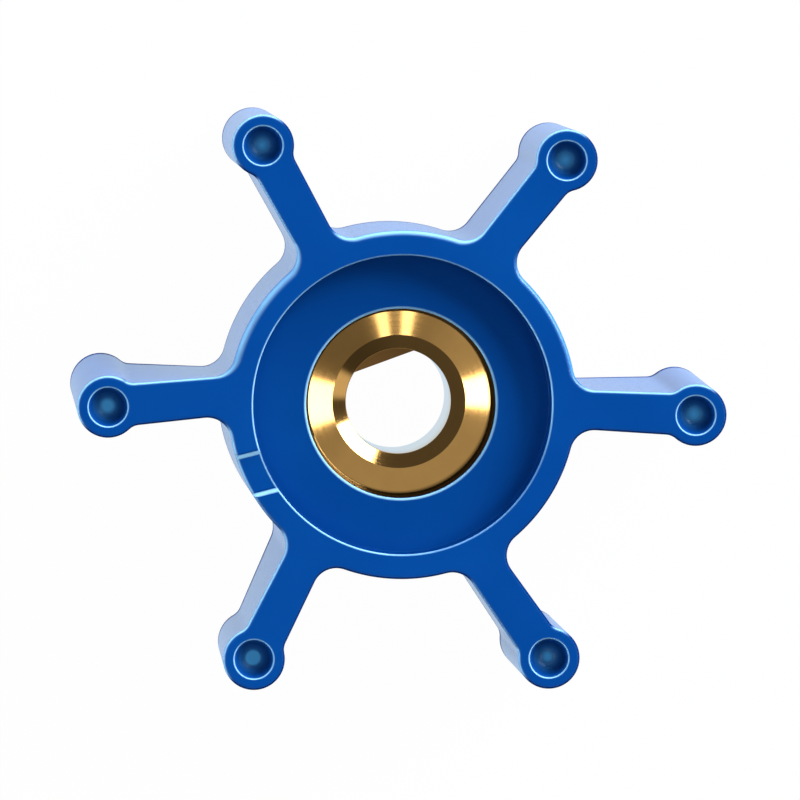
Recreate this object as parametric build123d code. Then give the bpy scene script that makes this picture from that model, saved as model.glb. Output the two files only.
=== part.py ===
# Flexible pump impeller: a rubber body with bulb-tipped blades, moulded around a turned
# brass bush with a D-shaped bore. Lengths are in millimetres. The axis of rotation is +Z,
# the rear faces lie on z = 0 and the root of the first blade points along +X.
import os
from math import sqrt

from build123d import *

os.makedirs("parts", exist_ok=True)

# Rubber body as a whole, with the break of its outer edges
WIDTH = 16.0
HUB_RADIUS = 13.4
OUTLINE_BREAK = 0.22

# Blades, evenly spaced and a little thicker towards their bulbs
BLADE_ROOT_THICKNESS = 3.1
BLADE_TIP_THICKNESS = 3.3
ROOT_FILLET = 1.85
BULB_CENTRE_RADIUS = 22.62
BULB_RADIUS = 2.38
BULB_BLEND = 1.25

# The round end of each bulb is drawn as three arcs, the middle one of twice this angle
CROWN_HALF_ANGLE = 45

# The rubber has taken a set: each blade leans from this radius outwards, and these are the
# distances that its bulb has moved counterclockwise, blade by blade, at each end face
LEAN_START_RADIUS = 16.2
FRONT_LEANS = (-0.12, -0.79, 0.07, 0.79, 0.60, 0.76)
REAR_LEANS = (0.21, -0.82, 0.02, 0.02, 1.05, 0.67)

# Round recess in each end of the hub
RECESS_RADIUS = 11.5
RECESS_DEPTH = 1.8

# Blind dimple with a tapering wall in each end of each bulb
DIMPLE_RADIUS = 1.54
DIMPLE_FLOOR_RADIUS = 0.8
DIMPLE_DEPTH = 1.4

# Shallow notch with sloping flanks across the rim of the front face
NOTCH_WIDTH = 3.15
NOTCH_DEPTH = 0.25
NOTCH_FLANK = 0.35
NOTCH_POSITION_ANGLE = 206.9
NOTCH_RUN_ANGLE = 16.1

# Brass bush: the rubber laps over both ends, and two cones lead from the counterbore to
# the bore
BUSH_RADIUS = 8.2
RUBBER_LAP = 0.6
COUNTERBORE_RADIUS = 7.2
COUNTERBORE_DEPTH = 1.2
OUTER_CONE_DEPTH = 0.5
CONE_BORDER_RADIUS = 5.15
INNER_CONE_DEPTH = 0.6

# D-shaped bore for a round shaft with one flat
SHAFT_DIAMETER = 8.0
SHAFT_CLEARANCE = 0.07
FLAT_DISTANCE = 3.25
FLAT_ANGLE = 111.8

# Sizes that follow from the ones above
BLADE_PITCH = 360.0 / len(FRONT_LEANS)
RIM_MIDDLE_RADIUS = (HUB_RADIUS + RECESS_RADIUS) / 2
BUSH_INSET = RECESS_DEPTH + RUBBER_LAP
BUSH_LENGTH = WIDTH - 2 * BUSH_INSET
BORE_RADIUS = SHAFT_DIAMETER / 2 + SHAFT_CLEARANCE


def turned(vector, angle):
    """The vector turned counterclockwise about the axis of rotation."""
    return vector.rotate(Axis.Z, angle)


def arc_between(start, end, centre):
    """The shorter arc about the centre from one point to the other."""
    radius = (start - centre).length
    middle = centre + ((start - centre) + (end - centre)).normalized() * radius
    return Edge.make_three_point_arc(start, middle, end)


def blend_centre(foot, along, outward, blend, centre, radius, way):
    """Centre of the blend that touches a flank line and a circle from outside."""
    base = foot + outward * blend
    nearest = (centre - base).dot(along)
    aside = (centre - base - along * nearest).length
    return base + along * (nearest + way * sqrt((radius + blend) ** 2 - aside**2))


def flank(root_middle, tip_middle, across, side, inset):
    """One side of a blade from the hub outwards: each blend's centre and two end points."""
    hub_middle = Vector(0, 0, root_middle.Z)
    foot = root_middle + across * (side * BLADE_ROOT_THICKNESS / 2)
    along = (tip_middle + across * (side * BLADE_TIP_THICKNESS / 2) - foot).normalized()
    outward = turned(along, side * 90)
    root = blend_centre(foot, along, outward, ROOT_FILLET, hub_middle, HUB_RADIUS, 1)
    tip = blend_centre(foot, along, outward, BULB_BLEND, tip_middle, BULB_RADIUS, -1)
    on_hub = root + (hub_middle - root).normalized() * (ROOT_FILLET + inset)
    on_bulb = tip + (tip_middle - tip).normalized() * (BULB_BLEND + inset)
    root_end = root - outward * (ROOT_FILLET + inset)
    tip_end = tip - outward * (BULB_BLEND + inset)
    return on_hub, root, root_end, tip_end, tip, on_bulb


def bulb_middle(angle, lean, height):
    """Where the middle of a blade's bulb lies, and the directions along and across it."""
    length = BULB_CENTRE_RADIUS - LEAN_START_RADIUS
    tilt = turned(Vector(sqrt(length**2 - lean**2), lean, 0), angle)
    root_middle = turned(Vector(LEAN_START_RADIUS, 0, height), angle)
    return root_middle, root_middle + tilt, tilt.normalized()


def blade_edges(angle, lean, height, inset):
    """The edges of one blade, counterclockwise, and the points where they meet the hub."""
    root_middle, tip_middle, outwards = bulb_middle(angle, lean, height)
    across = turned(outwards, 90)
    sides = [flank(root_middle, tip_middle, across, side, inset) for side in (-1, 1)]
    hub_a, root_a, start_a, end_a, tip_a, bulb_a = sides[0]
    hub_b, root_b, start_b, end_b, tip_b, bulb_b = sides[1]
    crown = outwards * (BULB_RADIUS - inset)
    crown_a = tip_middle + turned(crown, -CROWN_HALF_ANGLE)
    crown_b = tip_middle + turned(crown, CROWN_HALF_ANGLE)
    edges = [
        arc_between(hub_a, start_a, root_a),
        Edge.make_line(start_a, end_a),
        arc_between(end_a, bulb_a, tip_a),
        arc_between(bulb_a, crown_a, tip_middle),
        arc_between(crown_a, crown_b, tip_middle),
        arc_between(crown_b, bulb_b, tip_middle),
        arc_between(bulb_b, end_b, tip_b),
        Edge.make_line(end_b, start_b),
        arc_between(start_b, hub_b, root_b),
    ]
    return edges, hub_a, hub_b


def lean_at(blade, height):
    """How far a blade's bulb has moved at one height."""
    share = height / WIDTH
    return REAR_LEANS[blade] * (1 - share) + FRONT_LEANS[blade] * share


def outline(height, inset):
    """The outline of hub and blades at one height, drawn in by the inset."""
    middle = Vector(0, 0, height)
    blades = [
        blade_edges(blade * BLADE_PITCH, lean_at(blade, height), height, inset)
        for blade in range(len(FRONT_LEANS))
    ]
    edges = []
    for blade, following in zip(blades, blades[1:] + blades[:1]):
        edges += blade[0]
        edges.append(arc_between(blade[2], following[1], middle))
    return Face(Wire(edges))


def bulb_places(leans, height):
    """The middles of the bulbs at one end face."""
    return [
        Pos(bulb_middle(blade * BLADE_PITCH, lean, height)[1])
        for blade, lean in enumerate(leans)
    ]


def dimple_cutter():
    """One blind dimple below z = 0, which narrows to its floor."""
    wall = Cone(DIMPLE_FLOOR_RADIUS, DIMPLE_RADIUS, DIMPLE_DEPTH)
    return Pos(0, 0, -DIMPLE_DEPTH / 2) * wall


def notch_cutter():
    """The notch across the rim, between the recess and the outside of the hub."""
    floor = NOTCH_WIDTH - NOTCH_FLANK
    mouth = NOTCH_WIDTH + NOTCH_FLANK
    above = 2 * mouth - floor
    section = Plane.YZ * Polygon(
        (-floor / 2, -NOTCH_DEPTH),
        (floor / 2, -NOTCH_DEPTH),
        (above / 2, NOTCH_DEPTH),
        (-above / 2, NOTCH_DEPTH),
        align=None,
    )
    bar = extrude(section, 2 * (HUB_RADIUS - RECESS_RADIUS), both=True)
    place = turned(Vector(RIM_MIDDLE_RADIUS, 0, WIDTH), NOTCH_POSITION_ANGLE)
    return Pos(place) * Rot(0, 0, NOTCH_RUN_ANGLE) * bar


def from_below(shape):
    """The same shape turned over about the X axis."""
    return Rot(180, 0, 0) * shape


def from_rear(shape):
    """The same shape at the rear face."""
    return Pos(0, 0, WIDTH) * from_below(shape)


def rubber_body():
    front_break = WIDTH - OUTLINE_BREAK
    sections = [
        outline(0, OUTLINE_BREAK),
        outline(OUTLINE_BREAK, 0),
        outline(front_break, 0),
        outline(WIDTH, OUTLINE_BREAK),
    ]
    body = loft(sections, ruled=True)

    recess = Pos(0, 0, WIDTH - RECESS_DEPTH) * extrude(Circle(RECESS_RADIUS), RECESS_DEPTH)
    pocket = Pos(0, 0, BUSH_INSET) * extrude(Circle(BUSH_RADIUS), BUSH_LENGTH)
    hole = extrude(Circle(COUNTERBORE_RADIUS), WIDTH)
    body -= [recess, from_rear(recess), pocket, hole, notch_cutter()]
    dimple = dimple_cutter()
    body -= [place * dimple for place in bulb_places(FRONT_LEANS, WIDTH)]
    return body - [place * from_below(dimple) for place in bulb_places(REAR_LEANS, 0)]


def end_cones():
    """What is turned out of the bush at its front: the counterbore and the two cones."""
    top = WIDTH - BUSH_INSET
    shelf = top - COUNTERBORE_DEPTH
    border = shelf - OUTER_CONE_DEPTH
    mouth = border - INNER_CONE_DEPTH
    section = Plane.XZ * make_face(
        Polyline(
            (0, top + RUBBER_LAP),
            (COUNTERBORE_RADIUS, top + RUBBER_LAP),
            (COUNTERBORE_RADIUS, shelf),
            (CONE_BORDER_RADIUS, border),
            (BORE_RADIUS, mouth),
            (0, mouth),
            close=True,
        )
    )
    return revolve(section, Axis.Z)


def d_profile():
    """The bore's section: a circle cut off by the flat."""
    reach = 2 * BORE_RADIUS
    kept = Pos(FLAT_DISTANCE - reach / 2, 0) * Rectangle(reach, reach)
    return Rot(0, 0, FLAT_ANGLE) * (Circle(BORE_RADIUS) & kept)


def brass_bush():
    bush = Pos(0, 0, BUSH_INSET) * extrude(Circle(BUSH_RADIUS), BUSH_LENGTH)
    cones = end_cones()
    return bush - [cones, from_rear(cones), extrude(d_profile(), WIDTH)]


export_step(rubber_body(), "parts/rubber_impeller.step")
export_step(brass_bush(), "parts/brass_bush.step")
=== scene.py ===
from math import acos, atan2, cos, hypot, radians, sin, sqrt, tan, tau

import bpy
import numpy as np
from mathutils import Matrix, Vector, geometry


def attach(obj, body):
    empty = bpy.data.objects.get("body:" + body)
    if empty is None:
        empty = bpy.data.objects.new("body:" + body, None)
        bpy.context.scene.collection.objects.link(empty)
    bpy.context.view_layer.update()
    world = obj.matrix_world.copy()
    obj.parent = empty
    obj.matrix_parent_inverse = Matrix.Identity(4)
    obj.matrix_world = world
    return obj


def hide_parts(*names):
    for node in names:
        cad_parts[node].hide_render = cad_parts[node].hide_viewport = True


MM = 0.001

# Rubber body
WIDTH = 16.0
HUB_RADIUS = 13.4
BLADE_ROOT_THICKNESS = 3.1
BLADE_TIP_THICKNESS = 3.3
ROOT_FILLET = 1.85
BULB_CENTRE_RADIUS = 22.62
BULB_RADIUS = 2.38
BULB_BLEND = 1.25
LEAN_START_RADIUS = 16.2
FRONT_LEANS = (-0.12, -0.79, 0.07, 0.79, 0.60, 0.76)
REAR_LEANS = (0.21, -0.82, 0.02, 0.02, 1.05, 0.67)
BLADE_PITCH = tau / len(FRONT_LEANS)

# Rounded outer edges: the radius on the blades and on each stretch of hub after a blade,
# and the slight roll of the face that leads into them
BLADE_EDGE = 0.2
HUB_EDGES = (0.42, 0.42, 0.6, 0.24, 0.2, 0.2)
ROLL_WIDTH = 0.16
ROLL_TILT = radians(4.5)

# The outer edges get a painted highlight on one side, for the light that comes from it. It
# starts and is full where an edge faces that side by these shares, and each stretch of hub
# has its own strength of it
HIGHLIGHT_SIDE = radians(138)
HIGHLIGHT_START = -0.05
HIGHLIGHT_FULL = 0.35
BLADE_HIGHLIGHT = 1.0
HUB_HIGHLIGHTS = (0.8, 0.9, 0.7, 0.9, 0.9, 0.9)

# The other edges get a pale painted highlight where they are broad, and elsewhere painted
# shade, which grows from the flat face to the wall. The foot of the wall, by the floor, gets
# painted shade too: heights and shares
BROAD_HIGHLIGHT = 0.33
SHADE_SPREAD = 1.5
FOOT_SHADE = ((0.6, 0.8), (1.0, 0.2), (1.6, 0.0))

# Recess in each end of the hub, and the rubber that laps over the bush
RECESS_RADIUS = 11.5
RECESS_DEPTH = 1.8
RECESS_CORNER = 0.12
RIM_EDGE = 0.14
LAP_RADIUS = 7.3
LAP_EDGE = 0.22
RUBBER_LAP = 0.6

# The rim of the recess gets a pale painted highlight, more where its edge is steep, by shares
# that change with the angle around it in degrees. The wall below the rim gets painted shade
RECESS_RIM_HIGHLIGHT = 0.9
STEEPNESS_RISE = 1.5
RIM_HIGHLIGHT_ANGLES = (0, 50, 70, 125, 155, 262, 290, 340, 360)
RIM_HIGHLIGHT_SHARES = (1, 1, 0.6, 0.6, 1, 1, 0.5, 0.4, 1)
RECESS_SHADE = 0.8

# A wall is upright where its normal is level by more than this share, and there the lap's wall
# gets painted shade
UPRIGHT = 0.99

# Dimples in the bulbs, with bowls for floors
DIMPLE_RADIUS = 1.54
DIMPLE_FLOOR_RADIUS = 0.8
DIMPLE_DEPTH = 1.4
DIMPLE_BOWL = 0.8
DIMPLE_WALL_SHARES = (0.1, 0.3, 0.5)

# A dimple's rim gets a painted highlight, and its wall painted shade from a short way inside
# the rim. Its bowl gets a painted highlight that grows paler towards the middle
DIMPLE_RIM = 0.05
DIMPLE_SHADE = 0.42
DIMPLE_SHADE_START = 0.08
DIMPLE_BOWL_HIGHLIGHT = 0.5
DIMPLE_BOWL_HIGHLIGHT_RADIUS = 1.2

# The painted highlight spot on each dimple's floor, blade by blade: radius and how softly it ends
HIGHLIGHT_SPOTS = ((0.5, 0.7), (0.5, 0.9), (0.45, 0.8), (0.55, 0.4), (0.6, 0.2), (0.38, 0.3))

# Notch across the rim of the front face. Its flanks have softened normals and a painted
# highlight, and a fine line of painted shade runs along the same side of both
NOTCH_WIDTH = 3.15
NOTCH_DEPTH = 0.25
NOTCH_FLANK = 0.35
NOTCH_POSITION_ANGLE = radians(206.9)
NOTCH_RUN_ANGLE = radians(16.1)
NOTCH_SOFTNESS = 0.4
NOTCH_HIGHLIGHT = 6.0
NOTCH_DARK_LINE = 0.06

# Brass bush: two cones lead from the counterbore to the D-shaped bore
BUSH_RADIUS = 8.2
COUNTERBORE_RADIUS = 7.08
COUNTERBORE_DEPTH = 1.2
COUNTERBORE_CORNER = 0.06
OUTER_CONE_DEPTH = 0.5
CONE_BORDER_RADIUS = 5.15
CONE_BORDER_ROUNDING = 0.04
INNER_CONE_DEPTH = 0.6
BORE_RADIUS = 4.07
BORE_BREAK = 0.06
FLAT_DISTANCE = 3.25
FLAT_ANGLE = radians(111.8)
FLAT_HALF_ANGLE = acos(FLAT_DISTANCE / BORE_RADIUS)

# The broken edge of the bore, row by row, beside the flat and around the rest: shares of the
# break away from the wall and downwards, and the normal's angle above the horizontal. The
# first rows lie on the ledge beside the flat, and these are dull
FLAT_BREAK_ROWS = ((0, 0, 90), (0, 0, 90), (0.3, 0.3, 45), (0, 1, 0))
ROUND_BREAK_ROWS = ((0.3, 0.1, 57.4337), (0.1, 0.4, 45), (0, 1, 25.1351), (0, 2, 0))
LEDGE_ROWS = 3

# The painted shade in the counterbore: how far it reaches in over the cone, how much further it
# reaches on one side, and the rows of the cone, by their shares of it, that it ends in
COUNTERBORE_SHADE_REACH = 0.06
COUNTERBORE_SHADE_EXTRA = 0.22
COUNTERBORE_SHADE_SIDE = radians(-45)
COUNTERBORE_SHADE_ROWS = (0.04, 0.08, 0.12, 0.16)

# How finely the curves are drawn, with more points of the hub where the notch crosses it
FILLET_STEPS = 12
FLANK_STEPS = 10
BLEND_STEPS = 10
BULB_STEPS = 44
HUB_STEPS = (24, 24, 24, 110, 24, 24)
EDGE_STEPS = 6
ROLL_STEPS = 3
WALL_STEPS = 8
CORNER_STEPS = 5
BRASS_CORNER_STEPS = 3
RING_STEPS = 200
DIMPLE_STEPS = 56
NOTCH_RING_STEPS = 60
NOTCH_SPREAD = radians(11)

# Extra points on the rim, in lines along each flank of the notch
NOTCH_LINES = 12
NOTCH_LINE_HALF_LENGTH = 2.0
NOTCH_LINE_STEP = 0.1

# The rounding of corners that nothing shows, the gap between a curve and the points that
# keep the wall beside it straight, and how far outside a rim its section starts
HIDDEN_CORNER = 0.02
GUARD = 0.06
BEYOND_RIM = 1.0

# What counts as no angle and as no distance, and the triangulation's choice of what to fill
NO_ANGLE = 1e-6
NO_DISTANCE = 1e-7
FILL_INSIDE = 1


def direction(angle):
    return np.array([cos(angle), sin(angle)])


def directions(angles):
    return np.stack([np.cos(angles), np.sin(angles)], axis=1)


def evenly(count):
    """So many angles, evenly spaced all the way round."""
    return np.arange(count) * tau / count


def left_of(vector):
    return np.array([-vector[1], vector[0]])


def unit(vector):
    return vector / hypot(*vector)


def sweep(centre, radius, first, last, turn, count):
    """Points and outward normals on an arc without its end: turn is 1 if it bulges, else -1."""
    start = atan2(first[1], first[0])
    span = (atan2(last[1], last[0]) - start) * turn % tau
    angles = start + turn * span * np.arange(count) / count
    ways = directions(angles)
    return centre + radius * ways, turn * ways


def straight(start, end, normal, count):
    """Points and outward normals on a straight run without its end."""
    shares = (np.arange(count) / count)[:, None]
    return start + (end - start) * shares, np.tile(normal, (count, 1))


def joined(pieces):
    """Several runs of points and normals as one."""
    points, normals = zip(*pieces)
    return np.concatenate(points), np.concatenate(normals)


def blend_centre(foot, along, outward, blend, centre, radius, way):
    """Centre of the blend that touches a flank line and a circle from outside."""
    base = foot + outward * blend
    nearest = (centre - base) @ along
    aside = hypot(*(centre - base - along * nearest))
    return base + along * (nearest + way * sqrt((radius + blend) ** 2 - aside**2))


def flank(root_middle, tip_middle, across, side):
    """One side of a blade: the centres of its two blends, and its outward normal."""
    foot = root_middle + across * side * BLADE_ROOT_THICKNESS / 2
    along = unit(tip_middle + across * side * BLADE_TIP_THICKNESS / 2 - foot)
    outward = left_of(along) * side
    hub_middle = np.zeros(2)
    root = blend_centre(foot, along, outward, ROOT_FILLET, hub_middle, HUB_RADIUS, 1)
    tip = blend_centre(foot, along, outward, BULB_BLEND, tip_middle, BULB_RADIUS, -1)
    return root, tip, outward


def bulb_middle(blade, lean):
    """Where a blade starts to lean, and where the middle of its bulb lies."""
    outwards = direction(blade * BLADE_PITCH)
    length = BULB_CENTRE_RADIUS - LEAN_START_RADIUS
    root_middle = outwards * LEAN_START_RADIUS
    tilt = outwards * sqrt(length**2 - lean**2) + left_of(outwards) * lean
    return root_middle, root_middle + tilt


def blade_pieces(blade, lean):
    """The outline of one blade, counterclockwise, and the centres of its root fillets."""
    root_middle, middle = bulb_middle(blade, lean)
    across = left_of(unit(middle - root_middle))
    root_a, tip_a, out_a = flank(root_middle, middle, across, -1)
    root_b, tip_b, out_b = flank(root_middle, middle, across, 1)
    start_a, end_a = root_a - out_a * ROOT_FILLET, tip_a - out_a * BULB_BLEND
    start_b, end_b = root_b - out_b * ROOT_FILLET, tip_b - out_b * BULB_BLEND
    pieces = [
        sweep(root_a, ROOT_FILLET, -root_a, -out_a, -1, FILLET_STEPS),
        straight(start_a, end_a, out_a, FLANK_STEPS),
        sweep(tip_a, BULB_BLEND, -out_a, middle - tip_a, -1, BLEND_STEPS),
        sweep(middle, BULB_RADIUS, tip_a - middle, tip_b - middle, 1, BULB_STEPS),
        sweep(tip_b, BULB_BLEND, middle - tip_b, -out_b, -1, BLEND_STEPS),
        straight(end_b, start_b, out_b, FLANK_STEPS),
        sweep(root_b, ROOT_FILLET, -out_b, -root_b, -1, FILLET_STEPS),
    ]
    return pieces, root_a, root_b


def outline(leans):
    """Points and outward normals of the whole outline at one end face."""
    blades = [blade_pieces(blade, lean) for blade, lean in enumerate(leans)]
    pieces = []
    for blade, following, count in zip(blades, blades[1:] + blades[:1], HUB_STEPS):
        pieces += blade[0]
        pieces.append(sweep(np.zeros(2), HUB_RADIUS, blade[2], following[1], 1, count))
    return joined(pieces)


def along_outline(on_blades, on_hub):
    """A value for each point of the outline: one for the blades and one for each stretch of
    hub after a blade, with an even change from one to the other along the root fillets."""
    plain = 2 * (FLANK_STEPS + BLEND_STEPS) + BULB_STEPS
    runs = []
    for before, after, count in zip(on_hub[-1:] + on_hub[:-1], on_hub, HUB_STEPS):
        runs += [
            np.linspace(before, on_blades, FILLET_STEPS),
            np.full(plain, on_blades),
            np.linspace(on_blades, after, FILLET_STEPS),
            np.full(count, after),
        ]
    return np.concatenate(runs)


def edge_rows(radii):
    """Rows from the flat face over the roll and the rounded edge to the wall: how far each
    is drawn in, how deep it lies, and the angle of its normal above the horizontal."""
    rows = []
    top = tau / 4 - ROLL_TILT
    drop = ROLL_WIDTH * tan(ROLL_TILT) / 2
    for step in range(ROLL_STEPS):
        share = step / ROLL_STEPS
        inset = radii * (1 - cos(top)) + ROLL_WIDTH * (1 - share)
        rows.append((inset, np.full_like(radii, drop * share**2), tau / 4 - ROLL_TILT * share))
    for step in range(EDGE_STEPS + 1):
        angle = top * (1 - step / EDGE_STEPS)
        rows.append((radii * (1 - cos(angle)), drop + radii * (sin(top) - sin(angle)), angle))
    return rows


def rounded(corners):
    """Points and outward normals along a line of (radius, height, rounding, steps) corners,
    without its two ends. The rubber or brass is on the left of the line."""
    pieces = []
    places = [np.array(corner[:2]) for corner in corners]
    for before, corner, after, form in zip(places, places[1:], places[2:], corners[1:]):
        rounding, steps = form[2:]
        coming, going = unit(corner - before), unit(after - corner)
        bend = atan2(left_of(coming) @ going, coming @ going)
        if steps == 0:
            pieces.append((corner[None], -left_of(coming)[None]))
            continue
        turn = 1 if bend > 0 else -1
        start = corner - coming * rounding * tan(abs(bend) / 2)
        centre = start + left_of(coming) * turn * rounding
        angles = bend * np.arange(steps + 1) / steps
        normal = -left_of(coming)
        ways = np.cos(angles)[:, None] * normal + np.sin(angles)[:, None] * left_of(normal)
        pieces.append((centre + turn * rounding * ways, ways))
    return joined(pieces)


def at_rear(path):
    """The same line at the rear end."""
    points, normals = path
    return points * (1, -1) + (0, WIDTH), normals * (1, -1)


class Shell:
    """A mesh in the making: points, normals, faces, and each point's three marks, mostly of painted
    highlight and painted shade.
    """

    def __init__(self):
        self.points, self.normals, self.marks, self.faces = [], [], [], []
        self.size = 0

    def add(self, points, normals, marks=(0.0, 0.0, 0.0)):
        """Adds a grid or row of points, and gives their numbers in the same layout."""
        count = points.size // 3
        self.points.append(points.reshape(-1, 3))
        self.normals.append(normals.reshape(-1, 3))
        self.marks.append(np.broadcast_to(marks, points.shape).reshape(-1, 3))
        numbers = np.arange(self.size, self.size + count).reshape(points.shape[:-1])
        self.size += count
        return numbers

    def strips(self, rows):
        """Joins each closed row of points to the next."""
        near, far = rows[:-1], rows[1:]
        sides = [near, np.roll(near, -1, axis=1), np.roll(far, -1, axis=1), far]
        self.faces += np.stack(sides, axis=-1).reshape(-1, 4).tolist()

    def fan(self, row, centre):
        """Joins a closed row of points to one point in its middle."""
        self.faces += [[a, b, centre] for a, b in zip(row, np.roll(row, -1))]

    def mesh(self, name, change=None):
        """Makes the object, after a last change of its points, normals and marks."""
        points, normals = np.concatenate(self.points), np.concatenate(self.normals)
        marks = np.concatenate(self.marks)
        if change:
            points, normals, marks = change(points, normals, marks)
        normals = normals / np.linalg.norm(normals, axis=1)[:, None]
        faces = []
        for face in self.faces:
            a, b, c = points[face[:3]]
            up = np.cross(b - a, c - a) @ normals[face].sum(axis=0)
            if len(face) == 4:
                up += np.cross(c - a, points[face[3]] - a) @ normals[face].sum(axis=0)
            faces.append(face if up > 0 else face[::-1])
        mesh = bpy.data.meshes.new(name)
        mesh.from_pydata((points * MM).tolist(), [], faces)
        mesh.polygons.foreach_set("use_smooth", [True] * len(faces))
        layer = mesh.attributes.new("marks", "FLOAT_VECTOR", "POINT")
        layer.data.foreach_set("vector", marks.reshape(-1).tolist())
        mesh.normals_split_custom_set_from_vertices(normals.tolist())
        piece = bpy.data.objects.new(name, mesh)
        bpy.context.scene.collection.objects.link(piece)
        return piece


def wall_rows(radii, facing):
    """Rows from the front face over the wall to the rear face: how far each is drawn in, its
    height, the angle and the end that its normal leans to, and its marks."""
    # Painted highlight on the edges that face the highlight side, by how far they face it
    highlight_share = np.clip((facing - HIGHLIGHT_START) / (HIGHLIGHT_FULL - HIGHLIGHT_START), 0, 1)
    broad = np.clip(radii / BLADE_EDGE - 1, 0, 1)
    shade_share = (1 - highlight_share) * (1 - broad)
    pale = BROAD_HIGHLIGHT * (1 - highlight_share) * broad
    highlight_share *= along_outline(BLADE_HIGHLIGHT, HUB_HIGHLIGHTS)
    none = 0 * radii
    foot = none + FOOT_SHADE[0][1]
    edge = edge_rows(radii)
    last = edge[-1][1] + GUARD

    rows = []
    for inset, depth, angle in edge:
        # Painted shade grows towards the wall, and painted highlights are strongest where the edge
        # leans at half a right angle
        row_shade = shade_share * min(1, SHADE_SPREAD * cos(angle))
        slanting = sin(2 * angle) ** 2
        rows.append((inset, WIDTH - depth, angle, 1, [highlight_share * slanting, row_shade, pale * slanting]))
    rows.append((none, WIDTH - last, 0.0, 1, [none, shade_share, none]))
    for step in range(1, WALL_STEPS):
        height = WIDTH - last - (WIDTH - FOOT_SHADE[-1][0]) * step / WALL_STEPS
        rows.append((none, height, 0.0, 1, [none, none, none]))
    # Painted shade at the foot of the wall, by the floor
    for height, share in FOOT_SHADE[::-1]:
        rows.append((none, none + height, 0.0, 1, [none, none + share, none]))
    rows.append((none, last, 0.0, 1, [none, foot, none]))
    rows += [(inset, depth, angle, -1, [none, foot, none]) for inset, depth, angle in edge[::-1]]
    return rows


def outer_wall(shell):
    """The wall between the two outlines: adds it, and gives its first and last row."""
    rear_points, rear_normals = outline(REAR_LEANS)
    front_points, front_normals = outline(FRONT_LEANS)
    radii = along_outline(BLADE_EDGE, HUB_EDGES)
    points, normals, shown = [], [], []
    for inset, height, angle, end, marks in wall_rows(radii, front_normals @ direction(HIGHLIGHT_SIDE)):
        share = (height / WIDTH)[:, None]
        flat = rear_normals + (front_normals - rear_normals) * share
        flat /= np.linalg.norm(flat, axis=1)[:, None]
        slope = ((front_points - rear_points) * flat).sum(axis=1) / WIDTH
        place = rear_points + (front_points - rear_points) * share - flat * inset[:, None]
        points.append(np.column_stack([place, height]))
        normals.append(np.column_stack([flat * cos(angle), end * sin(angle) - slope * cos(angle)]))
        shown.append(np.column_stack(marks))
    numbers = shell.add(np.array(points), np.array(normals), np.array(shown))
    shell.strips(numbers)
    return numbers[0], numbers[-1]


def ring_angles():
    """Evenly spaced angles, with more of them where the notch crosses the rim."""
    even = evenly(RING_STEPS)
    start, end = NOTCH_POSITION_ANGLE - NOTCH_SPREAD, NOTCH_POSITION_ANGLE + NOTCH_SPREAD
    close = np.linspace(start, end, NOTCH_RING_STEPS)
    return np.concatenate([even[even < start], close, even[even > end]])


def turned(line, angles, middle=(0.0, 0.0)):
    """A line of (outwards, upwards) pairs turned about an upright axis: a row for each pair."""
    flat = line[:, None, :1] * directions(angles) + middle
    height = np.broadcast_to(line[:, None, 1:], flat.shape[:2] + (1,))
    return np.concatenate([flat, height], axis=2)


def turned_shape(shell, path, angles, marks, middle=(0.0, 0.0)):
    """Adds a line of points turned about an upright axis, and joins its rows. The marks are
    given for each row and angle, or for each row with one angle for all."""
    points, normals = path
    places = turned(points, angles, middle)
    numbers = shell.add(places, turned(normals, angles), np.broadcast_to(marks, places.shape))
    shell.strips(numbers)
    return numbers


def hub_inside():
    """The section of recess, lap and bush pocket, from the front rim to the rear rim."""
    floor = WIDTH - RECESS_DEPTH
    shelf = floor - RUBBER_LAP
    corners = [
        (RECESS_RADIUS + BEYOND_RIM, WIDTH, 0, 0),
        (RECESS_RADIUS, WIDTH, RIM_EDGE, CORNER_STEPS),
        (RECESS_RADIUS, WIDTH - NOTCH_DEPTH - GUARD, 0, 0),
        (RECESS_RADIUS, floor, RECESS_CORNER, CORNER_STEPS),
        (LAP_RADIUS, floor, LAP_EDGE, CORNER_STEPS),
        (LAP_RADIUS, shelf, HIDDEN_CORNER, 1),
        (BUSH_RADIUS, shelf, HIDDEN_CORNER, 1),
        (BUSH_RADIUS, WIDTH / 2, 0, 0),
    ]
    front = rounded(corners)
    points, normals = at_rear(front)
    return joined([front, (points[::-1], normals[::-1])])


def inside_marks(section, angles):
    """Painted highlights on the rims of recess and lap, and painted shade on the recess's wall and
    on the lap's upright wall.
    """
    (out, height), (leaning, _) = section[0].T, section[1].T
    steep = np.clip(STEEPNESS_RISE * np.abs(leaning), 0, 1)
    at_recess = out > RECESS_RADIUS - RECESS_CORNER - GUARD
    below_rim = np.abs(height - WIDTH / 2) < WIDTH / 2 - NOTCH_DEPTH
    at_lap = out < LAP_RADIUS + LAP_EDGE
    upright = np.abs(leaning) > UPRIGHT
    on_rim = RECESS_RIM_HIGHLIGHT * steep * (at_recess & ~below_rim)
    on_lap = steep * (at_lap & ~upright)
    painted_highlight = np.outer(on_rim, np.interp(np.degrees(angles), RIM_HIGHLIGHT_ANGLES, RIM_HIGHLIGHT_SHARES)) + on_lap[:, None]
    dark = np.maximum(at_lap & upright, RECESS_SHADE * steep * (at_recess & below_rim))
    return np.stack([painted_highlight, dark[:, None] + 0 * painted_highlight, 0 * painted_highlight], axis=-1)


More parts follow.
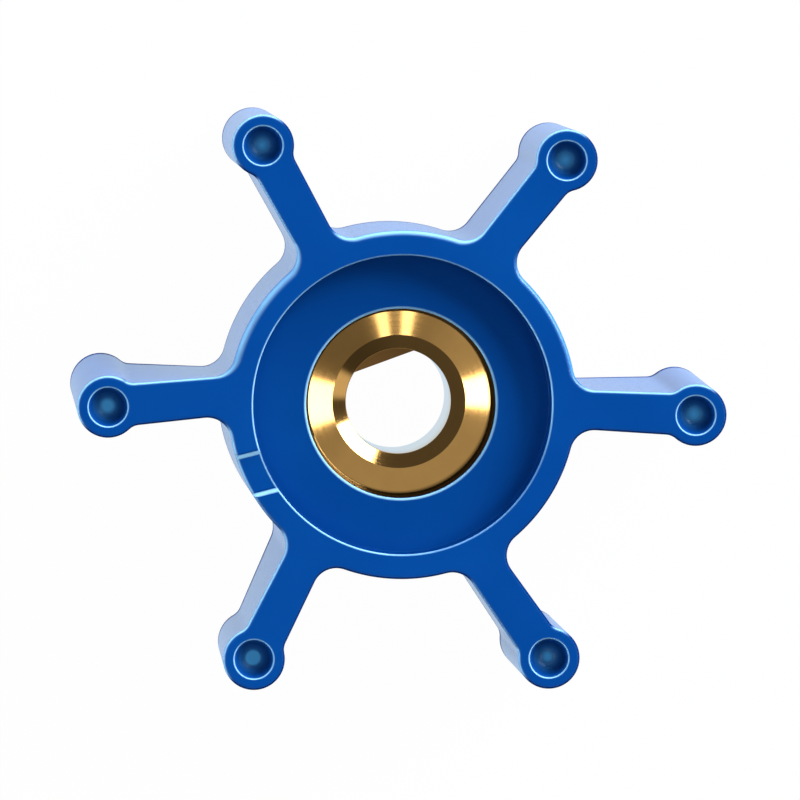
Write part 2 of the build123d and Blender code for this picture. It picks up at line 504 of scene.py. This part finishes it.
def dimple_section():
    """The section of a dimple, from its rim to the middle of its floor."""
    floor = WIDTH - DIMPLE_DEPTH
    narrowing = DIMPLE_RADIUS - DIMPLE_FLOOR_RADIUS
    wall = [
        (DIMPLE_RADIUS - narrowing * share, WIDTH - DIMPLE_DEPTH * share, 0, 0)
        for share in DIMPLE_WALL_SHARES
    ]
    corners = [
        (DIMPLE_RADIUS + BEYOND_RIM, WIDTH, 0, 0),
        (DIMPLE_RADIUS, WIDTH, RIM_EDGE, CORNER_STEPS),
        *wall,
        (DIMPLE_FLOOR_RADIUS, floor, DIMPLE_BOWL, 2 * CORNER_STEPS),
        (0, floor, 0, 0),
    ]
    return rounded(corners)


def dimple_marks(section, spot, softness):
    """A painted highlight on the rim, painted shade on the wall, and a bowl with a painted highlight
    spot in its middle, row by row.
    """
    points, normals = section
    out = points[:, 0]
    rim = (2 * normals[:, 0] * normals[:, 1]) ** 2 * (out > DIMPLE_RADIUS - DIMPLE_RIM)
    in_spot = np.clip((spot + softness / 2 - out) / softness, 0, 1)
    pale = np.maximum(in_spot, DIMPLE_BOWL_HIGHLIGHT * np.clip(1 - out / DIMPLE_BOWL_HIGHLIGHT_RADIUS, 0, 1))
    inside = np.clip((DIMPLE_RADIUS - out) / DIMPLE_SHADE_START, 0, 1)
    return np.column_stack([rim, DIMPLE_SHADE * inside * (1 - pale), pale])


def add_dimple(shell, middle, front, spot, softness):
    """Adds a dimple to one of the end faces, and gives the row of points at its rim."""
    section = dimple_section()
    marks = dimple_marks(section, spot, softness)
    if not front:
        section = at_rear(section)
    numbers = turned_shape(shell, section, evenly(DIMPLE_STEPS), marks[:, None], middle)
    floor = np.array([[*middle, section[0][-1, 1]]])
    upright = np.array([[0, 0, section[1][-1, 1]]])
    shell.fan(numbers[-1], int(shell.add(floor, upright, [0, 0, 1])[0]))
    return numbers[0]


def notch_frame():
    """The middle of the notch, and the directions along and across it."""
    middle = direction(NOTCH_POSITION_ANGLE) * (HUB_RADIUS + RECESS_RADIUS) / 2
    run = direction(NOTCH_RUN_ANGLE)
    return middle, run, left_of(run)


def notched(points, normals, marks):
    """Lowers the front of the rim to the notch's floor and flanks, softens their normals, and paints
    a highlight on the flanks and a fine line of shade beside each.
    """
    middle, run, way = notch_frame()
    along, across = (points[:, :2] - middle) @ run, (points[:, :2] - middle) @ way
    share = np.clip((NOTCH_WIDTH / 2 - np.abs(across)) / NOTCH_FLANK + 0.5, 0, 1)
    depth = NOTCH_DEPTH * share**2 * (3 - 2 * share)
    slope = -NOTCH_DEPTH * 6 * share * (1 - share) / NOTCH_FLANK * np.sign(across)
    near = np.abs(along) < HUB_RADIUS - RECESS_RADIUS
    low = near & (points[:, 2] > WIDTH - depth) & (depth > 0)
    points, normals, marks = points.copy(), normals.copy(), marks.copy()
    points[low, 2] = (WIDTH - depth)[low]
    sideways = NOTCH_SOFTNESS * slope[low, None] * way
    normals[low] = np.column_stack([sideways, np.ones(low.sum())])
    # Painted highlight on the flanks
    flanks = np.minimum(1, NOTCH_HIGHLIGHT * share * (1 - share))
    marks[low, 0] = np.maximum(marks[low, 0], flanks[low])
    # A fine line of painted shade on the flat just beside one side of each flank
    above = np.where(across > 0, NOTCH_WIDTH + NOTCH_FLANK, NOTCH_FLANK - NOTCH_WIDTH) / 2
    line = np.clip(1 - np.abs(across - above - NOTCH_DARK_LINE) / NOTCH_DARK_LINE, 0, 1)
    flat = near & (np.abs(points[:, 2] - WIDTH + NOTCH_DEPTH / 2) < NOTCH_DEPTH)
    marks[flat, 1] = np.maximum(marks[flat, 1], line[flat] * (1 - marks[flat, 0]))
    return points, normals, marks


def notch_points():
    """Extra points on the flat rim, in lines along the notch's two flanks."""
    middle, run, way = notch_frame()
    end = (NOTCH_WIDTH + NOTCH_FLANK) / 2 + 2 * GUARD
    start = (NOTCH_WIDTH - NOTCH_FLANK) / 2 - 2 * GUARD
    lines = np.linspace(start, end, NOTCH_LINES)
    steps = np.arange(-NOTCH_LINE_HALF_LENGTH, NOTCH_LINE_HALF_LENGTH, NOTCH_LINE_STEP)
    grid = [
        middle + run * along + way * across
        for across in np.concatenate([-lines, lines])
        for along in steps
    ]
    inner = RECESS_RADIUS + RIM_EDGE + GUARD
    outer = HUB_RADIUS - BLADE_EDGE - ROLL_WIDTH - GUARD
    return np.array([place for place in grid if inner < hypot(*place) < outer])


def flat_face(shell, rims, height, rise, extra):
    """Fills the flat face inside the first rim and outside the others, over extra points."""
    rings = list(rims)
    if len(extra):
        loose = np.column_stack([extra, np.full(len(extra), height)])
        rings.append(shell.add(loose, np.tile([0, 0, rise], (len(extra), 1))))
    numbers = np.concatenate(rings)
    flat = np.concatenate(shell.points)[numbers][:, :2]
    rim_of = np.zeros(len(numbers), int)
    borders, start = [], 0
    for rim, ring in enumerate(rims):
        order = np.arange(start, start + len(ring))
        borders += zip(order.tolist(), np.roll(order, -1).tolist())
        rim_of[order] = rim
        start += len(ring)
    places = [Vector(place) for place in flat.tolist()]
    result = geometry.delaunay_2d_cdt(places, borders, [], FILL_INSIDE, NO_DISTANCE)
    originals = [found[0] for found in result[3]]
    for face in result[2]:
        corners = [originals[corner] for corner in face]
        touched = {int(rim_of[corner]) for corner in corners}
        if len(touched) > 1 or touched == {0}:
            shell.faces.append([int(numbers[corner]) for corner in corners])


def make_rubber():
    """The whole rubber body as one closed shell."""
    shell = Shell()
    front_edge, rear_edge = outer_wall(shell)
    section, angles = hub_inside(), ring_angles()
    inside = turned_shape(shell, section, angles, inside_marks(section, angles))
    ends = (
        (FRONT_LEANS, True, front_edge, inside[0], notch_points()),
        (REAR_LEANS, False, rear_edge, inside[-1], ()),
    )
    for leans, front, edge, recess, extra in ends:
        middles = [bulb_middle(blade, lean)[1] for blade, lean in enumerate(leans)]
        rims = [add_dimple(shell, middle, front, *spot) for middle, spot in zip(middles, HIGHLIGHT_SPOTS)]
        height, rise = (WIDTH, 1) if front else (0, -1)
        flat_face(shell, [edge, recess, *rims], height, rise, extra)
    return shell.mesh("rubber_body", notched)


def bush_section():
    """The section of the bush's front, from the middle of its outside to the end of the inner
    cone, and the height of the bore's mouth."""
    top = WIDTH - RECESS_DEPTH - RUBBER_LAP
    shelf = top - COUNTERBORE_DEPTH
    border = shelf - OUTER_CONE_DEPTH
    mouth = border - INNER_CONE_DEPTH
    narrowing = COUNTERBORE_RADIUS - CONE_BORDER_RADIUS
    shade_ends = [
        (COUNTERBORE_RADIUS - narrowing * share, shelf - OUTER_CONE_DEPTH * share, 0, 0)
        for share in COUNTERBORE_SHADE_ROWS
    ]
    corners = [
        (BUSH_RADIUS, 0, 0, 0),
        (BUSH_RADIUS, WIDTH / 2, 0, 0),
        (BUSH_RADIUS, top, HIDDEN_CORNER, 1),
        (LAP_RADIUS, top, HIDDEN_CORNER, 1),
        (COUNTERBORE_RADIUS, shelf, COUNTERBORE_CORNER, BRASS_CORNER_STEPS),
        *shade_ends,
        (CONE_BORDER_RADIUS, border, CONE_BORDER_ROUNDING, BRASS_CORNER_STEPS),
        (BORE_RADIUS, mouth, 0, 0),
    ]
    points, normals = rounded(corners)
    slant = unit(np.array([BORE_RADIUS - CONE_BORDER_RADIUS, mouth - border]))
    end = np.array([BORE_RADIUS, mouth]) - slant * BORE_BREAK
    return np.vstack([points, end]), np.vstack([normals, -left_of(slant)]), mouth


def bore_rows(angles, mouth):
    """Rows from the inner cone's end over the edge of the D-shaped bore into its wall."""
    away = np.abs((angles - FLAT_ANGLE + tau / 2) % tau - tau / 2)
    on_flat = (away < FLAT_HALF_ANGLE + NO_ANGLE)[:, None]
    ways = directions(angles)
    reach = FLAT_DISTANCE / np.cos(np.minimum(away, FLAT_HALF_ANGLE))
    circle = ways * BORE_RADIUS
    wall = np.where(on_flat, ways * reach[:, None], circle)
    inward = np.where(on_flat, -direction(FLAT_ANGLE), -ways)
    brink = wall - inward * BORE_BREAK
    short = np.linalg.norm(brink, axis=1) > BORE_RADIUS
    brink[short] = circle[short]

    def row(line, away_share=0, down_share=0, angle=0, height=mouth):
        places = line - inward * BORE_BREAK * away_share
        heights = np.full(len(places), height - BORE_BREAK * down_share)
        flat_normals = inward * cos(radians(angle))
        rises = np.full(len(places), sin(radians(angle)))
        return np.column_stack([places, heights]), np.column_stack([flat_normals, rises])

    rows = []
    broken = zip((circle, brink, wall, wall), FLAT_BREAK_ROWS, ROUND_BREAK_ROWS)
    for line, beside_flat, around in broken:
        pairs = zip(row(line, *beside_flat), row(circle, *around))
        rows.append(tuple(np.where(on_flat, first, second) for first, second in pairs))
    rows.append(row(wall, height=WIDTH / 2))
    return rows


def bush_marks(places, angles, before_ledge, mouth):
    """Painted shade in the counterbore, a dull ledge and edge at the bore, and a painted reflection
    on the bore's wall.
    """
    from_axis = np.hypot(places[..., 0], places[..., 1])
    reach = COUNTERBORE_SHADE_REACH + COUNTERBORE_SHADE_EXTRA * np.maximum(0, np.cos(angles - COUNTERBORE_SHADE_SIDE))
    shaded = np.clip((from_axis - COUNTERBORE_RADIUS) / reach + 1, 0, 1)
    marks = shaded[..., None] * [0, 1, 0]
    after_ledge = before_ledge + LEDGE_ROWS
    marks[before_ledge:after_ledge] = (0, 0, 1)
    from_middle = np.abs(places[after_ledge + 1 :, :, 2] - WIDTH / 2)
    # The bore's wall gets a painted reflection of the pale floor
    marks[after_ledge + 1 :, :, 0] = from_middle < mouth - WIDTH / 2
    return marks


def make_bush():
    """The turned brass bush as one closed shell."""
    shell = Shell()
    flat_ends = [FLAT_ANGLE - FLAT_HALF_ANGLE, FLAT_ANGLE + FLAT_HALF_ANGLE]
    angles = np.sort(np.concatenate([evenly(RING_STEPS), flat_ends]))
    points, normals, mouth = bush_section()
    rows = list(zip(turned(points, angles), turned(normals, angles)))
    before_ledge = len(rows)
    rows += bore_rows(angles, mouth)
    over = np.array([1.0, 1.0, -1.0])
    lift = np.array([0.0, 0.0, WIDTH])
    rows += [(place * over + lift, normal * over) for place, normal in rows[-2:0:-1]]
    places, normals = (np.array(part) for part in zip(*rows))
    numbers = shell.add(places, normals, bush_marks(places, angles, before_ledge, mouth))
    shell.strips(np.vstack([numbers, numbers[:1]]))
    return shell.mesh("bush")


def add_node(tree, kind, inputs=None, **settings):
    """Adds a node, sets what it is told, and links each input that is a socket."""
    node = tree.nodes.new(kind)
    for name, value in settings.items():
        setattr(node, name, value)
    for name, value in (inputs or {}).items():
        if isinstance(value, bpy.types.NodeSocket):
            tree.links.new(value, node.inputs[name])
        else:
            node.inputs[name].default_value = value
    return node


def new_material(name):
    material = bpy.data.materials.new(name)
    material.use_nodes = True
    material.node_tree.nodes.clear()
    return material, material.node_tree


def blend_colours(tree, share, first, second):
    """A colour that goes from the first to the second with the share."""
    inputs = {0: share, 6: first, 7: second}
    return add_node(tree, "ShaderNodeMix", inputs, data_type="RGBA").outputs[2]


def mapped(tree, value, low, high, new_low, new_high, **settings):
    """A value whose range from low to high is moved to a new one, and held inside it."""
    old_range = {"Value": value, "From Min": low, "From Max": high}
    new_range = {"To Min": new_low, "To Max": new_high}
    return add_node(tree, "ShaderNodeMapRange", old_range | new_range, **settings).outputs[0]


def calculated(tree, operation, first, second):
    return add_node(tree, "ShaderNodeMath", {0: first, 1: second}, operation=operation).outputs[0]


def product(tree, first, second):
    return calculated(tree, "MULTIPLY", first, second)


def noise(tree, place, scale, detail):
    inputs = {"Vector": place, "Scale": scale, "Detail": detail}
    return add_node(tree, "ShaderNodeTexNoise", inputs).outputs["Fac"]


def marked(tree):
    """The sockets of a place's three marks: on the rubber its painted highlight, painted shade and
    pale painted highlight, on the brass its painted reflection, painted shade and dullness.
    """
    marks = add_node(tree, "ShaderNodeAttribute", attribute_name="marks").outputs["Vector"]
    parts = add_node(tree, "ShaderNodeSeparateXYZ", {0: marks}).outputs
    return parts["X"], parts["Y"], parts["Z"]


def bumpy(tree, height, strength, distance):
    inputs = {"Height": height, "Strength": strength, "Distance": distance}
    return add_node(tree, "ShaderNodeBump", inputs).outputs[0]


def end_material(tree, surface):
    """Ends a material's nodes in one shader with these inputs."""
    shader = add_node(tree, "ShaderNodeBsdfPrincipled", surface).outputs[0]
    add_node(tree, "ShaderNodeOutputMaterial", {"Surface": shader})


# What the values of a noise mostly lie between. Each noise below is given by its cells per
# metre and its detail
NOISE_RANGE = (0.3, 0.7)
WHITE = (1, 1, 1, 1)

# Rubber: its two blues, its colours for painted highlight, painted shade and pale painted
# highlight, and the share that each of these has at full marks, which for two of them varies
# with the ripple
RUBBER_CLOUDS = (90.0, 3.0)
RUBBER_CLOUD_RANGE = (0.35, 0.65)
RUBBER_RIPPLE = (420.0, 2.0)
RUBBER_GRAIN = (2600.0, 2.0)
RUBBER_BLUES = ((0.0008, 0.064, 0.325, 1), (0.0013, 0.074, 0.36, 1))
RUBBER_HIGHLIGHT_COLOUR = (0.36, 0.71, 1.0, 1)
RUBBER_HIGHLIGHT_SHARES = (0.75, 0.95)
RUBBER_SHADE_COLOUR = (0.0004, 0.016, 0.10, 1)
RUBBER_SHADE_SHARE = 0.9
PALE_COLOUR = (0.11, 0.56, 1.0, 1)
PALE_SHARES = (0.9, 1.0)

# Marked rubber is rougher, and its gloss ends where its marks reach a half. The ripple's bump
# has a strength and a depth in metres
RUBBER_ROUGHNESS = (0.13, 0.17)
MARKED_ROUGHNESS = 0.4
RUBBER_IOR = 1.5
RUBBER_GLOSS = 0.6
GLOSS_END = 0.5
RUBBER_BUMP = (0.12, 0.00006)


def rubber_material():
    material, tree = new_material("blue_rubber_looks")
    place = add_node(tree, "ShaderNodeTexCoord").outputs["Object"]
    clouds = noise(tree, place, *RUBBER_CLOUDS)
    ripple = noise(tree, place, *RUBBER_RIPPLE)
    grain = noise(tree, place, *RUBBER_GRAIN)
    painted_highlight, dark, pale = marked(tree)

    tint = mapped(tree, clouds, *RUBBER_CLOUD_RANGE, 0.0, 1.0)
    colour = blend_colours(tree, tint, *RUBBER_BLUES)
    highlight_share = product(tree, painted_highlight, mapped(tree, ripple, *NOISE_RANGE, *RUBBER_HIGHLIGHT_SHARES))
    colour = blend_colours(tree, highlight_share, colour, RUBBER_HIGHLIGHT_COLOUR)
    colour = blend_colours(tree, product(tree, dark, RUBBER_SHADE_SHARE), colour, RUBBER_SHADE_COLOUR)
    pale_highlight = product(tree, pale, mapped(tree, ripple, *NOISE_RANGE, *PALE_SHARES))
    colour = blend_colours(tree, pale_highlight, colour, PALE_COLOUR)

    smooth = mapped(tree, grain, *NOISE_RANGE, *RUBBER_ROUGHNESS)
    uneven = calculated(tree, "MAXIMUM", calculated(tree, "MAXIMUM", pale, dark), painted_highlight)
    surface = {
        "Base Color": colour,
        "Roughness": calculated(tree, "ADD", smooth, product(tree, uneven, MARKED_ROUGHNESS)),
        "Normal": bumpy(tree, ripple, *RUBBER_BUMP),
        "IOR": RUBBER_IOR,
        "Specular IOR Level": mapped(tree, uneven, 0.0, GLOSS_END, RUBBER_GLOSS, 0.0),
    }
    end_material(tree, surface)
    return material


# Brass: its two tones, and its colours for a painted reflection, for dull places and for painted
# shade. The grooves of turning run around the axis
BRASS_CLOUDS = (500.0, 3.0)
GROOVE_SCALE = 9000.0
GROOVE_DETAIL = 2.0
BRASS_TONES = ((0.86, 0.49, 0.15, 1), (0.93, 0.535, 0.165, 1))
# The colour of the painted reflection on the bore's wall
BRIGHT_COLOUR = (1.0, 0.85, 0.71, 1)
DULL_COLOUR = (0.26, 0.14, 0.045, 1)
BRASS_SHADE_COLOUR = (0.02, 0.012, 0.006, 1)
BRASS_SHADE_SHARE = 0.93
BRASS_ROUGHNESS = (0.08, 0.13)
DULL_ROUGHNESS = 0.5
GROOVE_BUMP = (0.05, 0.000006)


def turned_grooves(tree, place):
    """A noise that changes with the distance from the axis alone."""
    flattened = {0: place, 1: (1, 1, 0)}
    flat = add_node(tree, "ShaderNodeVectorMath", flattened, operation="MULTIPLY").outputs[0]
    radius = add_node(tree, "ShaderNodeVectorMath", {0: flat}, operation="LENGTH").outputs["Value"]
    inputs = {"W": radius, "Scale": GROOVE_SCALE, "Detail": GROOVE_DETAIL}
    return add_node(tree, "ShaderNodeTexNoise", inputs, noise_dimensions="1D").outputs["Fac"]


def brass_material():
    material, tree = new_material("turned_brass_looks")
    place = add_node(tree, "ShaderNodeTexCoord").outputs["Object"]
    grooves = turned_grooves(tree, place)
    bright, dark, dull = marked(tree)

    clouds = mapped(tree, noise(tree, place, *BRASS_CLOUDS), *NOISE_RANGE, 0.0, 1.0)
    colour = blend_colours(tree, clouds, *BRASS_TONES)
    colour = blend_colours(tree, bright, colour, BRIGHT_COLOUR)
    colour = blend_colours(tree, dull, colour, DULL_COLOUR)
    colour = blend_colours(tree, product(tree, dark, BRASS_SHADE_SHARE), colour, BRASS_SHADE_COLOUR)

    smooth = mapped(tree, grooves, *NOISE_RANGE, *BRASS_ROUGHNESS)
    surface = {
        "Base Color": colour,
        "Metallic": 1.0,
        "Roughness": calculated(tree, "ADD", smooth, product(tree, dull, DULL_ROUGHNESS)),
        "Normal": bumpy(tree, grooves, *GROOVE_BUMP),
    }
    end_material(tree, surface)
    return material


# Floor, in metres. The camera sees it as almost plain white, and glossy things a little less so
FLOOR_HALF_SIDE = 2.0
FLOOR_DROP = 0.00002
FLOOR_SPECKLE = (60.0, 4.0)
FLOOR_COLOURS = ((0.78, 0.85, 0.90, 1), (0.80, 0.87, 0.92, 1))
FLOOR_GLOW = 0.985
FLOOR_GLOW_IN_GLOSS = 0.88
FLOOR_GLOSS_COLOUR = (0.68, 0.85, 1.0, 1)


def floor_glow_share(tree):
    """How much of the floor is plain white: most for the camera, some in gloss and glass."""
    path = add_node(tree, "ShaderNodeLightPath").outputs
    direct = product(tree, path["Is Camera Ray"], FLOOR_GLOW)
    mirrored = calculated(tree, "MAXIMUM", path["Is Glossy Ray"], path["Is Transmission Ray"])
    return calculated(tree, "MAXIMUM", direct, product(tree, mirrored, FLOOR_GLOW_IN_GLOSS))


def floor_material():
    material, tree = new_material("pale_floor_looks")
    place = add_node(tree, "ShaderNodeTexCoord").outputs["Object"]
    speckle = mapped(tree, noise(tree, place, *FLOOR_SPECKLE), *NOISE_RANGE, 0.0, 1.0)
    colour = blend_colours(tree, speckle, *FLOOR_COLOURS)
    matt = add_node(tree, "ShaderNodeBsdfDiffuse", {"Color": colour}).outputs[0]
    seen = add_node(tree, "ShaderNodeLightPath").outputs["Is Camera Ray"]
    white = blend_colours(tree, seen, FLOOR_GLOSS_COLOUR, WHITE)
    glow = add_node(tree, "ShaderNodeEmission", {"Color": white, "Strength": 1.0}).outputs[0]
    shaders = {0: floor_glow_share(tree), 1: matt, 2: glow}
    mixed = add_node(tree, "ShaderNodeMixShader", shaders).outputs[0]
    add_node(tree, "ShaderNodeOutputMaterial", {"Surface": mixed})
    return material


def make_floor():
    side, height = FLOOR_HALF_SIDE, -FLOOR_DROP
    signs = ((-1, -1), (1, -1), (1, 1), (-1, 1))
    mesh = bpy.data.meshes.new("floor")
    mesh.from_pydata([(side * x, side * y, height) for x, y in signs], [], [(0, 1, 2, 3)])
    floor = bpy.data.objects.new("floor", mesh)
    bpy.context.scene.collection.objects.link(floor)
    mesh.materials.append(floor_material())


# The room by elevation and level, its dimmer side, the dark cap that the flat faces mirror
# and a faint low panel: azimuth, elevation, inner and outer angle in degrees
ROOM = ((0, 0.08), (42, 0.08), (54, 0.375), (72, 0.375), (90, 0.30))
ROOM_DIM_SIDE = (317, 55, 10, 42)
ROOM_DIM_LEVEL = 0.4
ROOM_DARK_CAP = (318, 87, 9, 17)
LOW_PANEL = (343, 28, 6, 13)
LOW_PANEL_GLOW = 0.6

# A bright band low around most of the room: full up to one elevation, and gone from another
HORIZON_FULL = 9
HORIZON_END = 17
HORIZON_SIDE = (125, 0, 112, 135)
HORIZON_COLOUR = (0.78, 0.94, 1.0, 1)
HORIZON_GLOW = 7.5


def pointing(azimuth, elevation):
    """A unit vector from two angles in degrees."""
    flat = direction(radians(azimuth)) * cos(radians(elevation))
    return (*flat, sin(radians(elevation)))


def soft_step(tree, value, low, high):
    return mapped(tree, value, low, high, 0.0, 1.0, interpolation_type="SMOOTHSTEP")


def closeness(tree, way, azimuth, elevation, inner, outer):
    """1 within the inner angle of a direction, and 0 outside the outer one."""
    inputs = {0: way, 1: pointing(azimuth, elevation)}
    dot = add_node(tree, "ShaderNodeVectorMath", inputs, operation="DOT_PRODUCT").outputs["Value"]
    return soft_step(tree, dot, cos(radians(outer)), cos(radians(inner)))


def room_level(tree, way, rise):
    """How bright the room is in each direction."""
    ramp = add_node(tree, "ShaderNodeValToRGB", {"Fac": rise})
    stops = ramp.color_ramp.elements
    while len(stops) < len(ROOM):
        stops.new(1.0)
    for stop, (elevation, level) in zip(stops, ROOM):
        stop.position = sin(radians(elevation))
        stop.color = (level, level, level, 1)
    side = mapped(tree, closeness(tree, way, *ROOM_DIM_SIDE), 0.0, 1.0, 1.0, ROOM_DIM_LEVEL)
    open_sky = mapped(tree, closeness(tree, way, *ROOM_DARK_CAP), 0.0, 1.0, 1.0, 0.0)
    walls = product(tree, product(tree, ramp.outputs[0], side), open_sky)
    panel = product(tree, closeness(tree, way, *LOW_PANEL), LOW_PANEL_GLOW)
    return calculated(tree, "ADD", walls, panel)


def horizon_level(tree, way, rise):
    """How bright the band near the horizon is in each direction."""
    low = soft_step(tree, rise, sin(radians(HORIZON_END)), sin(radians(HORIZON_FULL)))
    band = product(tree, low, closeness(tree, way, *HORIZON_SIDE))
    return product(tree, band, HORIZON_GLOW)


def background(tree, colour, level):
    return add_node(tree, "ShaderNodeBackground", {"Color": colour, "Strength": level}).outputs[0]


def make_world():
    """White behind everything; for light and reflections, a grey room with a bright horizon."""
    world = bpy.data.worlds.new("studio")
    world.use_nodes = True
    bpy.context.scene.world = world
    tree = world.node_tree
    tree.nodes.clear()
    way = add_node(tree, "ShaderNodeTexCoord").outputs["Generated"]
    rise = add_node(tree, "ShaderNodeSeparateXYZ", {0: way}).outputs["Z"]
    room = background(tree, WHITE, room_level(tree, way, rise))
    horizon = background(tree, HORIZON_COLOUR, horizon_level(tree, way, rise))
    light = add_node(tree, "ShaderNodeAddShader", {0: room, 1: horizon}).outputs[0]
    camera = add_node(tree, "ShaderNodeLightPath").outputs["Is Camera Ray"]
    shaders = {0: camera, 1: light, 2: background(tree, WHITE, 1.0)}
    mixed = add_node(tree, "ShaderNodeMixShader", shaders).outputs[0]
    add_node(tree, "ShaderNodeOutputWorld", {"Surface": mixed})


# Lamps: azimuth and elevation in degrees, distance, width and height in metres, and watts
LAMPS = {
    "key_light": (40, 21, 0.9, 0.66, 0.48, 14.0),
    "right_light": (354.4, 58.8, 0.6, 0.146, 0.10, 0.25),
    "left_light": (200, 66.4, 0.6, 0.108, 0.10, 0.22),
    "strip_light_a": (289.8, 58.2, 0.6, 0.037, 0.12, 0.039),
    "strip_light_b": (275.0, 59.1, 0.6, 0.036, 0.12, 0.041),
}


def add_lamp(name, azimuth, elevation, distance, width, height, watts):
    """A soft box that points at the middle of the object."""
    data = bpy.data.lights.new(name, "AREA")
    data.shape = "RECTANGLE"
    data.size, data.size_y = width, height
    data.energy = watts
    lamp = bpy.data.objects.new(name, data)
    bpy.context.scene.collection.objects.link(lamp)
    away = Vector(pointing(azimuth, elevation))
    middle = Vector((0, 0, WIDTH * MM / 2))
    lamp.location = middle + away * distance
    lamp.rotation_mode = "QUATERNION"
    lamp.rotation_quaternion = away.to_track_quat("Z", "Y")


# Camera, from a fit of its place to the bulbs and the bore in the photograph: metres, degrees
# and, for lens and sensor, millimetres
CAMERA_PLACE = (-0.04567, 0.04091, 0.61125)
CAMERA_TURN = (-4.029, -4.230, 1.959)
CAMERA_LENS = 351.34
CAMERA_SENSOR = 36.0
CAMERA_CLIP = (0.01, 20)


def make_camera():
    data = bpy.data.cameras.new("camera")
    data.sensor_width = CAMERA_SENSOR
    data.lens = CAMERA_LENS
    data.clip_start, data.clip_end = CAMERA_CLIP
    camera = bpy.data.objects.new("camera", data)
    bpy.context.scene.collection.objects.link(camera)
    camera.location = CAMERA_PLACE
    camera.rotation_euler = [radians(turn) for turn in CAMERA_TURN]
    bpy.context.scene.camera = camera


def dress(piece, node, material):
    """Puts a piece in the place of its CAD node."""
    piece.data.materials.append(material)
    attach(piece, "root")
    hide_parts(node)


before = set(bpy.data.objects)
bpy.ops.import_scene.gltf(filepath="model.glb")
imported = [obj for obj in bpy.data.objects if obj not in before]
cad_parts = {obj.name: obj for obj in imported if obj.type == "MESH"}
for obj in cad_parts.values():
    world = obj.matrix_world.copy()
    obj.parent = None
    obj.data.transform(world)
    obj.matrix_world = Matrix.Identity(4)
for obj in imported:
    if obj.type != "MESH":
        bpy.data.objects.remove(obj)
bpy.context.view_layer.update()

rubber = rubber_material()
brass = brass_material()
for node, material in (("rubber_impeller", rubber), ("brass_bush", brass)):
    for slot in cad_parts[node].material_slots:
        slot.material = material
dress(make_rubber(), "rubber_impeller", rubber)
dress(make_bush(), "brass_bush", brass)

make_floor()
make_world()
for name, settings in LAMPS.items():
    add_lamp(name, *settings)
make_camera()

bpy.context.scene.view_settings.view_transform = "Standard"
